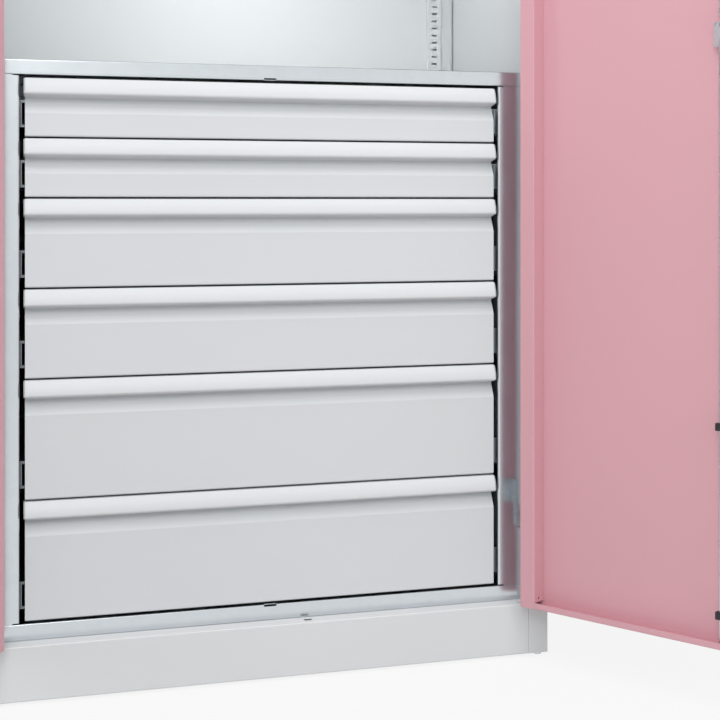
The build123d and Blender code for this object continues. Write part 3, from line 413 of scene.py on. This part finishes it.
def folded_tree():
    """Sheet folded along a profile and drawn out, with closed ends on its nose."""
    tree, given = new_tree(
        "Folded drawer front",
        [
            ("Profile", "NodeSocketGeometry", None),
            ("Nose", "NodeSocketObject", None),
            ("Half width", "NodeSocketFloat", 0.407),
            ("Sheet", "NodeSocketFloat", 0.001),
            ("Cap", "NodeSocketFloat", 0.002),
            ("Fold steps", "NodeSocketInt", 8),
            ("Finish", "NodeSocketMaterial", None),
        ],
    )
    bend = add(tree, "GeometryNodeInputNamedAttribute", {"Name": "bend"}, data_type="FLOAT")

    def rounded(geometry):
        """The curve along a wire, with its folds rounded."""
        curve = add(tree, "GeometryNodeMeshToCurve", {"Mesh": geometry})
        return add(
            tree, "GeometryNodeFilletCurve",
            {
                "Curve": curve.outputs["Curve"], "Count": given.outputs["Fold steps"],
                "Radius": bend.outputs["Attribute"], "Limit Radius": True,
            },
            mode="POLY",
        ).outputs["Curve"]

    # The profile lies in XY here and the width along Z; it is turned upright at the end
    half_width = given.outputs["Half width"]
    double = add(tree, "ShaderNodeMath", {0: half_width, 1: 2.0}, operation="MULTIPLY")
    width = add(tree, "ShaderNodeCombineXYZ", {"Z": double.outputs[0]})
    back = add(tree, "ShaderNodeMath", {0: half_width, 1: -1.0}, operation="MULTIPLY")
    line = add(tree, "GeometryNodeCurveToMesh", {"Curve": rounded(given.outputs["Profile"])})
    sheet = add(
        tree, "GeometryNodeExtrudeMesh",
        {"Mesh": line.outputs["Mesh"], "Offset": width.outputs[0], "Offset Scale": 1.0},
        mode="EDGES",
    )
    # The drawn faces look inwards, so the thickness goes against them, to the outside of the profile,
    # and the outer skin with its rim is turned to look outwards
    outward = add(
        tree, "ShaderNodeMath", {0: given.outputs["Sheet"], 1: -1.0}, operation="MULTIPLY"
    )
    folded = add(
        tree, "GeometryNodeExtrudeMesh",
        {"Mesh": sheet.outputs["Mesh"], "Offset Scale": outward.outputs[0], "Individual": False},
        mode="FACES",
    )
    outer = add(tree, "GeometryNodeFlipFaces", {"Mesh": folded.outputs["Mesh"]})
    shell = add(
        tree, "GeometryNodeJoinGeometry", {0: [outer.outputs["Mesh"], sheet.outputs["Mesh"]]}
    )
    placed = add(tree, "ShaderNodeCombineXYZ", {"Z": back.outputs[0]})
    front = add(
        tree, "GeometryNodeTransform", {"Geometry": shell.outputs[0], "Translation": placed.outputs[0]}
    )
    outline = add(tree, "GeometryNodeObjectInfo", {"Object": given.outputs["Nose"]})
    filled = add(
        tree, "GeometryNodeFillCurve", {"Curve": rounded(outline.outputs["Geometry"])}, mode="NGONS"
    )
    cap_step = add(tree, "ShaderNodeCombineXYZ", {"Z": given.outputs["Cap"]})
    drawn = add(
        tree, "GeometryNodeExtrudeMesh",
        {
            "Mesh": filled.outputs["Mesh"], "Offset Scale": 1.0, "Individual": False,
            "Offset": cap_step.outputs[0],
        },
        mode="FACES",
    )
    flipped = add(tree, "GeometryNodeFlipFaces", {"Mesh": filled.outputs["Mesh"]})
    cap = add(
        tree, "GeometryNodeJoinGeometry", {0: [drawn.outputs["Mesh"], flipped.outputs["Mesh"]]}
    )
    right_at = add(tree, "ShaderNodeCombineXYZ", {"Z": half_width})
    left_sum = add(
        tree, "ShaderNodeMath", {0: back.outputs[0], 1: given.outputs["Cap"]}, operation="SUBTRACT"
    )
    left_at = add(tree, "ShaderNodeCombineXYZ", {"Z": left_sum.outputs[0]})
    ends = [
        add(
            tree, "GeometryNodeTransform", {"Geometry": cap.outputs[0], "Translation": at.outputs[0]}
        ).outputs[0]
        for at in (right_at, left_at)
    ]
    whole = add(tree, "GeometryNodeJoinGeometry", {0: [front.outputs[0], *ends]})
    merged = add(
        tree, "GeometryNodeMergeByDistance", {"Geometry": whole.outputs[0], "Distance": WELD}
    )
    turned = add(
        tree, "GeometryNodeTransform",
        {"Geometry": merged.outputs[0], "Rotation": (math.radians(90), 0.0, math.radians(90))},
    )
    finish_tree(tree, turned.outputs[0], given.outputs["Finish"])
    return tree


def finish_tree(tree, geometry, material):
    """Smooth folds, sharp edges, real geometry and its material, as every tree here ends."""
    smooth = add(tree, "GeometryNodeSetShadeSmooth", {"Geometry": geometry}, domain="FACE")
    angle = add(tree, "GeometryNodeInputMeshEdgeAngle")
    sharp = add(
        tree, "FunctionNodeCompare",
        {0: angle.outputs["Unsigned Angle"], 1: math.radians(SHARP_FOLD)},
        data_type="FLOAT", operation="GREATER_THAN",
    )
    edged = add(
        tree, "GeometryNodeSetShadeSmooth",
        {"Geometry": smooth.outputs[0], "Selection": sharp.outputs[0], "Shade Smooth": False},
        domain="EDGE",
    )
    real = add(tree, "GeometryNodeRealizeInstances", {"Geometry": edged.outputs[0]})
    coated = add(
        tree, "GeometryNodeSetMaterial", {"Geometry": real.outputs[0], "Material": material}
    )
    add(tree, "NodeGroupOutput", {"Geometry": coated.outputs[0]})


def fastener_tree():
    """A fastener head on each point, facing along the point's own direction."""
    tree, given = new_tree(
        "Fastener heads",
        [
            ("Points", "NodeSocketGeometry", None),
            ("Head", "NodeSocketObject", None),
            ("Head size", "NodeSocketFloat", 1.0),
            ("Finish", "NodeSocketMaterial", None),
        ],
    )
    facing = add(
        tree, "GeometryNodeInputNamedAttribute", {"Name": "facing"}, data_type="FLOAT_VECTOR"
    )
    turn = add(
        tree, "FunctionNodeAlignRotationToVector", {"Vector": facing.outputs["Attribute"]}, axis="Z"
    )
    head = add(tree, "GeometryNodeObjectInfo", {"Object": given.outputs["Head"]})
    heads = add(
        tree, "GeometryNodeInstanceOnPoints",
        {
            "Points": given.outputs["Points"], "Instance": head.outputs["Geometry"],
            "Rotation": turn.outputs["Rotation"], "Scale": given.outputs["Head size"],
        },
    )
    finish_tree(tree, heads.outputs[0], given.outputs["Finish"])
    return tree


def wire(name, points, bends, closed=False):
    """A polyline in XY whose points carry their bend radius, in millimetres."""
    mesh = bpy.data.meshes.new(name)
    count = len(points)
    edges = [(i, i + 1) for i in range(count - 1)] + ([(count - 1, 0)] if closed else [])
    mesh.from_pydata([(x * MM, y * MM, 0) for x, y in points], edges, [])
    mesh.attributes.new("bend", "FLOAT", "POINT").data.foreach_set("value", [b * MM for b in bends])
    return link(mesh, name)


def head_mesh(name, profile, recess=0.0):
    """A turned head from its (radius, height) profile in millimetres; a recess is given by its radius."""
    work = bmesh.new()
    steps = 24
    turns = [math.tau * k / steps for k in range(steps)]
    rings = [
        [work.verts.new((r * MM * math.cos(a), r * MM * math.sin(a), z * MM)) for a in turns]
        for r, z in profile
    ]
    for lower, upper in zip(rings, rings[1:]):
        for k in range(steps):
            n = (k + 1) % steps
            work.faces.new((lower[k], lower[n], upper[n], upper[k]))
    top = work.faces.new(rings[-1])
    if recess:
        rim = profile[-1][0] - recess
        depth = recess * 0.8
        bmesh.ops.inset_region(work, faces=[top], thickness=rim * MM)
        bmesh.ops.translate(work, verts=top.verts, vec=(0, 0, -depth * MM))
    work.faces.new(list(reversed(rings[0])))
    bmesh.ops.recalc_face_normals(work, faces=work.faces)
    mesh = bpy.data.meshes.new(name)
    work.to_mesh(mesh)
    work.free()
    return link(mesh, name)


def fasteners(name, body, places, head_profile, recess=0.0):
    """Zinc-plated heads at (point, direction) places on one body, made by the node tree."""
    material = finish("zinc")
    tree = bpy.data.node_groups.get("Fastener heads") or fastener_tree()
    mesh = bpy.data.meshes.new(name)
    mesh.from_pydata([Vector(p) * MM for p, _ in places], [], [])
    facing = mesh.attributes.new("facing", "FLOAT_VECTOR", "POINT")
    facing.data.foreach_set("vector", [c for _, d in places for c in d])
    working = link(mesh, "work")
    head = head_mesh("head", head_profile, recess)
    nodes = working.modifiers.new("Heads", "NODES")
    nodes.node_group = tree
    set_inputs(nodes, {"Head": head, "Head size": 1.0, "Finish": material})
    piece = link(evaluated_mesh(working, name), name)
    bpy.data.objects.remove(head)
    give(piece, material)
    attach(piece, body)


def end_flanges(mesh, half_width, sheet, low, high):
    """Adds the flanges folded back at both ends of a drawer front, between two heights in millimetres."""
    work = bmesh.new()
    work.from_mesh(mesh)
    for side in (-1, 1):
        plate = bmesh.ops.create_cube(work, size=1.0)["verts"]
        centre = Vector((
            side * (half_width - sheet / 2), (PANEL_Y + END_FLANGE_MIDDLE) * MM, (low + high) / 2 * MM,
        ))
        scale = Vector((sheet, END_FLANGE_DEPTH * MM, (high - low) * MM))
        bmesh.ops.transform(work, verts=plate, matrix=Matrix.LocRotScale(centre, None, scale))
    work.to_mesh(mesh)
    work.free()


def swung(point, side=1):
    """A place on a closed right door, opened about the hinge and brought to its own side."""
    turn = math.radians(DOOR_OPEN)
    x, y = point[0] - PIVOT[0], point[1] - PIVOT[1]
    return (
        side * (PIVOT[0] + x * math.cos(turn) - y * math.sin(turn)),
        PIVOT[1] + x * math.sin(turn) + y * math.cos(turn),
        point[2],
    )


def swung_direction(direction, side=1):
    """A direction on a closed right door, opened in the same way."""
    turn = math.radians(DOOR_OPEN)
    x, y, z = direction
    return (
        side * (x * math.cos(turn) - y * math.sin(turn)),
        x * math.sin(turn) + y * math.cos(turn),
        z,
    )


# Settings


class CabinetFinish(bpy.types.PropertyGroup):
    """Colours and finishes."""

    carcass_hex: bpy.props.StringProperty(
        name="Carcass colour", description="Powder coat of the carcass, sRGB hex", default="D7DBDC"
    )
    drawer_hex: bpy.props.StringProperty(
        name="Drawer colour", description="Powder coat of the drawers, sRGB hex", default="D1D6D8"
    )
    door_hex: bpy.props.StringProperty(
        name="Door colour", description="Powder coat of the doors, sRGB hex", default="D3A2AB"
    )
    galvanised_hex: bpy.props.StringProperty(
        name="Galvanised steel", description="Tint of the zinc on the housing, sRGB hex",
        default="D2D8DC",
    )
    # Painted shade: this runner colour is darker than the zinc plate, to stand for the shade in the gaps
    # between the drawers
    runner_shade_hex: bpy.props.StringProperty(
        name="Runner zinc", description="Zinc plate of the runners darkened as painted shade, sRGB hex", default="8E9498"
    )
    zinc_hex: bpy.props.StringProperty(
        name="Zinc plate", description="Tint of hinges, screws and rods, sRGB hex", default="CDD2D6"
    )
    plastic_hex: bpy.props.StringProperty(
        name="Plastic", description="Handle, escutcheon and guides, sRGB hex", default="1B1C1E"
    )
    floor_hex: bpy.props.StringProperty(
        name="Floor colour", description="Colour of the floor, sRGB hex", default="C8C8C8"
    )
    galvanised_roughness: bpy.props.FloatProperty(
        name="Galvanised roughness", description="Cloudiness of the galvanised mirror",
        default=0.2, min=0.05, max=0.6,
    )


class CabinetSizes(bpy.types.PropertyGroup):
    """Sizes of the folded drawer fronts and of the view."""

    front_half_width: bpy.props.FloatProperty(
        name="Half front width", description="Middle of a drawer to the end of its panel",
        default=0.407, unit="LENGTH",
    )
    sheet: bpy.props.FloatProperty(
        name="Sheet", description="Sheet thickness of a drawer front", default=0.001, unit="LENGTH"
    )
    cap: bpy.props.FloatProperty(
        name="Nose cap", description="Closed end of the nose", default=0.002, unit="LENGTH"
    )
    fold_steps: bpy.props.IntProperty(
        name="Fold steps", description="Facets in each fold", default=8, min=2, max=24
    )
    camera_place: bpy.props.FloatVectorProperty(
        name="Camera place", description="Where the camera stands", size=3,
        default=(-0.4259, -2.7579, 0.8189), subtype="TRANSLATION", unit="LENGTH",
    )
    camera_turn: bpy.props.FloatProperty(
        name="Camera turn", description="Camera heading, to the right of straight in",
        default=math.radians(16.936), subtype="ANGLE",
    )
    camera_lens: bpy.props.FloatProperty(
        name="Lens", description="Focal length on a sensor 36 mm wide", default=72.403, unit="CAMERA"
    )
    camera_shift: bpy.props.FloatVectorProperty(
        name="Shift", description="Lens shift, in widths of the picture", size=2,
        default=(-0.1305, -0.2196),
    )


# Operators


class CABINET_OT_carcass(bpy.types.Operator):
    """Powder-coated carcass: side panels with folded posts, back, roof, rails, floor and strips"""

    bl_idname = "cabinet.carcass"
    bl_label = "Carcass"

    def execute(self, context):
        for node in (
            "side_panel_left", "side_panel_right", "plinth_front", "head_rail", "slotted_strips",
        ):
            smooth_copy(node, finish("carcass"))
        for node in ("back_panel", "roof_panel", "floor_panel", "foot_brackets"):
            give(NODES[node], finish("carcass"))
        give(NODES["levelling_feet"], finish("zinc"))
        return {"FINISHED"}


class CABINET_OT_housing(bpy.types.Operator):
    """Galvanised drawer housing and shelves, with their screws and hooks"""

    bl_idname = "cabinet.housing"
    bl_label = "Drawer housing"

    def execute(self, context):
        for node in (
            "housing_side_left", "housing_side_right", "housing_top_tray", "housing_base_rail",
            "shelf_lower", "shelf_upper", "housing_rear_rails",
        ):
            smooth_copy(node, finish("galvanised"))
        for node in ("housing_screws", "shelf_hooks"):
            give(NODES[node], finish("zinc"))
        return {"FINISHED"}


class CABINET_OT_drawer_fronts(bpy.types.Operator):
    """Six fronts, each one sheet folded into handle nose, finger recess, sloped return and panel"""

    bl_idname = "cabinet.drawer_fronts"
    bl_label = "Drawer fronts"

    def execute(self, context):
        tree = folded_tree()
        s = context.scene.cabinet_sizes
        nose_radii = (FOLD_R, NOSE_R, NOSE_EDGE_R)
        for number in DRAWERS:
            name = f"drawer_front_{number}_folded"
            low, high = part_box(f"drawer_front_{number}")
            bottom, top = low[2] / MM, high[2] / MM
            nose_points = [
                (PANEL_Y, top),
                (PANEL_Y - NOSE_SHOULDER[0], top - NOSE_SHOULDER[1]),
                (PANEL_Y - NOSE_EDGE[0], top - NOSE_EDGE[1]),
            ]
            profile = wire(
                name,
                [
                    (PANEL_Y + TOP_FLANGE, top), *nose_points,
                    (PANEL_Y + RECESS[0], top - RECESS[1]), (PANEL_Y, top - CREASE_DROP),
                    (PANEL_Y, bottom), (PANEL_Y + FOOT_FLANGE, bottom),
                    (PANEL_Y + FOOT_FLANGE, bottom + FOOT_LIP),
                ],
                (0, *nose_radii, FOLD_R, FOLD_R, FOLD_R, FOLD_R, 0),
            )
            nose = wire(
                "nose",
                [(PANEL_Y + CAP_DEPTH, top), *nose_points, (PANEL_Y + CAP_DEPTH, top - CAP_DROP)],
                (CAP_CORNER_R, *nose_radii, CAP_CORNER_R),
                closed=True,
            )
            folds = profile.modifiers.new("Folds", "NODES")
            folds.node_group = tree
            set_inputs(
                folds,
                {
                    "Nose": nose, "Half width": s.front_half_width, "Sheet": s.sheet, "Cap": s.cap,
                    "Fold steps": s.fold_steps, "Finish": finish("drawer"),
                },
            )
            flatten_flats(profile)
            mesh = evaluated_mesh(profile, name)
            bpy.data.objects.remove(nose)
            flange_low, flange_high = bottom + END_FLANGE_GAP, top - CREASE_DROP
            end_flanges(mesh, s.front_half_width, s.sheet, flange_low, flange_high)
            piece = link(mesh, name)
            give(piece, finish("drawer"))
            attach(piece, f"drawer_{number}")
            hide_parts(f"drawer_front_{number}")
        return {"FINISHED"}


class CABINET_OT_drawer_pans(bpy.types.Operator):
    """Drawer pans on telescopic runners, joined by dome rivets"""

    bl_idname = "cabinet.drawer_pans"
    bl_label = "Drawer pans and runners"

    def execute(self, context):
        give(NODES["fixed_runners"], finish("runner"))
        for number in DRAWERS:
            smooth_copy(f"drawer_pan_{number}", finish("drawer"))
            for kind in ("middle_runners", "drawer_runners"):
                give(NODES[f"{kind}_{number}"], finish("runner"))
            low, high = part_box(f"drawer_runners_{number}")
            z = (low[2] + high[2]) / 2 / MM
            places = [
                ((side * (PAN_SIDE_X - PAN_SHEET), PAN_FRONT_Y + reach, z), (-side, 0, 0))
                for side in (-1, 1)
                for reach in RUNNER_RIVET_REACH
            ]
            places += [
                ((x, PAN_FRONT_Y + PAN_SHEET, z - FRONT_RIVET_DROP), (0, 1, 0)) for x in FRONT_RIVET_X
            ]
            fasteners(f"drawer_{number}_rivets", f"drawer_{number}", places, DOME_RIVET)
        return {"FINISHED"}


class CABINET_OT_doors(bpy.types.Operator):
    """Pink doors with their hinges, rebate strip and hinge screws"""

    bl_idname = "cabinet.doors"
    bl_label = "Doors and hinges"

    def execute(self, context):
        for name, side in (("left", -1), ("right", 1)):
            smooth_copy(f"door_panel_{name}", finish("door"))
            door_screws = []
            post_screws = []
            for hinge_z in HINGE_ZS:
                for off in (-LEAF_SCREW_OFF, LEAF_SCREW_OFF):
                    at = (PIVOT[0] - DOOR_LEAF_GAP, LEAF_Y, hinge_z + LEAF_OFF + off)
                    door_screws.append((swung(at, side), swung_direction((1, 0, 0), side)))
                    post = (side * (PIVOT[0] - POST_LEAF_T), LEAF_Y, hinge_z - LEAF_OFF + off)
                    post_screws.append((post, (-side, 0, 0)))
            on_door, on_post = f"hinge_screws_door_{name}", f"hinge_screws_post_{name}"
            fasteners(on_door, f"door_{name}", door_screws, SOCKET_SCREW, SCREW_RECESS)
            fasteners(on_post, "carcass", post_screws, SOCKET_SCREW, SCREW_RECESS)
            smooth_copy(f"hinge_door_leaves_{name}", finish("zinc"), bevel=0.4)
            smooth_copy(f"hinge_frame_leaves_{name}", finish("zinc"), bevel=0.4)
        smooth_copy("rebate_strip", finish("door"))
        give(NODES["hinge_pins"], finish("zinc"))
        return {"FINISHED"}


class CABINET_OT_lock(bpy.types.Operator):
    """Rod lock: escutcheon, lever handle, key cylinder, cam, rods and guides"""

    bl_idname = "cabinet.lock"
    bl_label = "Rod lock"

    def execute(self, context):
        smooth_copy("lock_handle", finish("plastic"), angle=24.0, bevel=0.7)
        smooth_copy("handle_escutcheon", finish("plastic"), angle=24.0, bevel=0.5)
        smooth_copy("lock_cylinder", finish("zinc"), bevel=0.2)
        for node in ("lock_cam", "lock_rod_upper", "lock_rod_lower"):
            give(NODES[node], finish("zinc"))
        give(NODES["rod_guides"], finish("plastic"))
        places = [
            (swung((LOCK[0], LOCK[1], LOCK[2] + off)), swung_direction((0, -1, 0)))
            for off in (-ESCUTCHEON_SCREW_OFF, ESCUTCHEON_SCREW_OFF)
        ]
        fasteners("escutcheon_screws", "door_right", places, SOCKET_SCREW, SCREW_RECESS)
        return {"FINISHED"}


class CABINET_OT_stage(bpy.types.Operator):
    """Pale floor, white surroundings, soft light and the camera"""

    bl_idname = "cabinet.stage"
    bl_label = "Stage"

    def execute(self, context):
        scene = context.scene
        s = scene.cabinet_sizes
        scene.view_settings.view_transform = "Standard"

        camera = bpy.data.objects.new("Camera", bpy.data.cameras.new("Camera"))
        scene.collection.objects.link(camera)
        camera.location = s.camera_place
        camera.rotation_euler = (math.radians(90), 0, -s.camera_turn)
        camera.data.sensor_width = 36.0
        camera.data.lens = s.camera_lens
        camera.data.shift_x, camera.data.shift_y = s.camera_shift
        scene.camera = camera

        floor = blank_material("Pale floor")
        tree = floor.node_tree
        paint = (*linear(scene.cabinet_finish.floor_hex), 1)
        plain = add(tree, "ShaderNodeBsdfDiffuse", {"Color": paint})
        bright = add(tree, "ShaderNodeEmission", {"Color": (1, 1, 1, 1), "Strength": 1.0})
        share = add(
            tree, "ShaderNodeMath", {0: seen_by_rays(tree), 1: FLOOR_WHITE}, operation="MULTIPLY"
        )
        mixed = add(
            tree, "ShaderNodeMixShader", {0: share.outputs[0], 1: plain.outputs[0], 2: bright.outputs[0]}
        )
        add(tree, "ShaderNodeOutputMaterial", {"Surface": mixed.outputs[0]})
        mesh = bpy.data.meshes.new("floor")
        r = FLOOR_REACH
        mesh.from_pydata([(-r, -r, 0), (r, -r, 0), (r, r, 0), (-r, r, 0)], [], [(0, 1, 2, 3)])
        ground = link(mesh, "floor")
        give(ground, floor)

        world = bpy.data.worlds.new("Soft room")
        world.use_nodes = True
        tree = world.node_tree
        tree.nodes.clear()
        light = add(tree, "ShaderNodeBackground", {"Color": (1, 1, 1, 1), "Strength": ROOM_LIGHT})
        white = add(tree, "ShaderNodeBackground", {"Color": (1, 1, 1, 1), "Strength": 1.0})
        seen = seen_by_rays(tree)
        mixed = add(
            tree, "ShaderNodeMixShader", {0: seen, 1: light.outputs[0], 2: white.outputs[0]}
        )
        add(tree, "ShaderNodeOutputWorld", {"Surface": mixed.outputs[0]})
        scene.world = world

        for name, place, target, size, power, spread in LAMPS:
            lamp = bpy.data.lights.new(name, "AREA")
            lamp.shape, lamp.energy = "RECTANGLE", power
            lamp.size, lamp.size_y = size
            lamp.spread = math.radians(spread)
            holder = bpy.data.objects.new(name, lamp)
            scene.collection.objects.link(holder)
            holder.location = place
            holder.visible_glossy = name == "key"
            holder.visible_camera = False
            aim = Vector(target) - Vector(place)
            holder.rotation_euler = aim.to_track_quat("-Z", "Y").to_euler()
        return {"FINISHED"}


class CABINET_PT_panel(bpy.types.Panel):
    """Lists the pieces and their settings"""

    bl_idname = "CABINET_PT_panel"
    bl_label = "Cabinet"
    bl_space_type = "VIEW_3D"
    bl_region_type = "UI"
    bl_category = "Cabinet"

    def draw(self, context):
        column = self.layout.column()
        for operator in OPERATORS:
            column.operator(operator.bl_idname)
        for group in (context.scene.cabinet_finish, context.scene.cabinet_sizes):
            for name in group.bl_rna.properties.keys():
                if name not in ("rna_type", "name"):
                    column.prop(group, name)


OPERATORS = (
    CABINET_OT_stage,
    CABINET_OT_carcass,
    CABINET_OT_housing,
    CABINET_OT_drawer_fronts,
    CABINET_OT_drawer_pans,
    CABINET_OT_doors,
    CABINET_OT_lock,
)
CLASSES = (CabinetFinish, CabinetSizes, *OPERATORS, CABINET_PT_panel)


def register():
    for cls in CLASSES:
        bpy.utils.register_class(cls)
    bpy.types.Scene.cabinet_finish = bpy.props.PointerProperty(type=CabinetFinish)
    bpy.types.Scene.cabinet_sizes = bpy.props.PointerProperty(type=CabinetSizes)


def unregister():
    del bpy.types.Scene.cabinet_sizes
    del bpy.types.Scene.cabinet_finish
    for cls in reversed(CLASSES):
        bpy.utils.unregister_class(cls)


def main():
    register()
    bpy.ops.cabinet.stage()
    bpy.ops.cabinet.carcass()
    bpy.ops.cabinet.housing()
    bpy.ops.cabinet.drawer_fronts()
    bpy.ops.cabinet.drawer_pans()
    bpy.ops.cabinet.doors()
    bpy.ops.cabinet.lock()


if __name__ == "__main__":
    main()
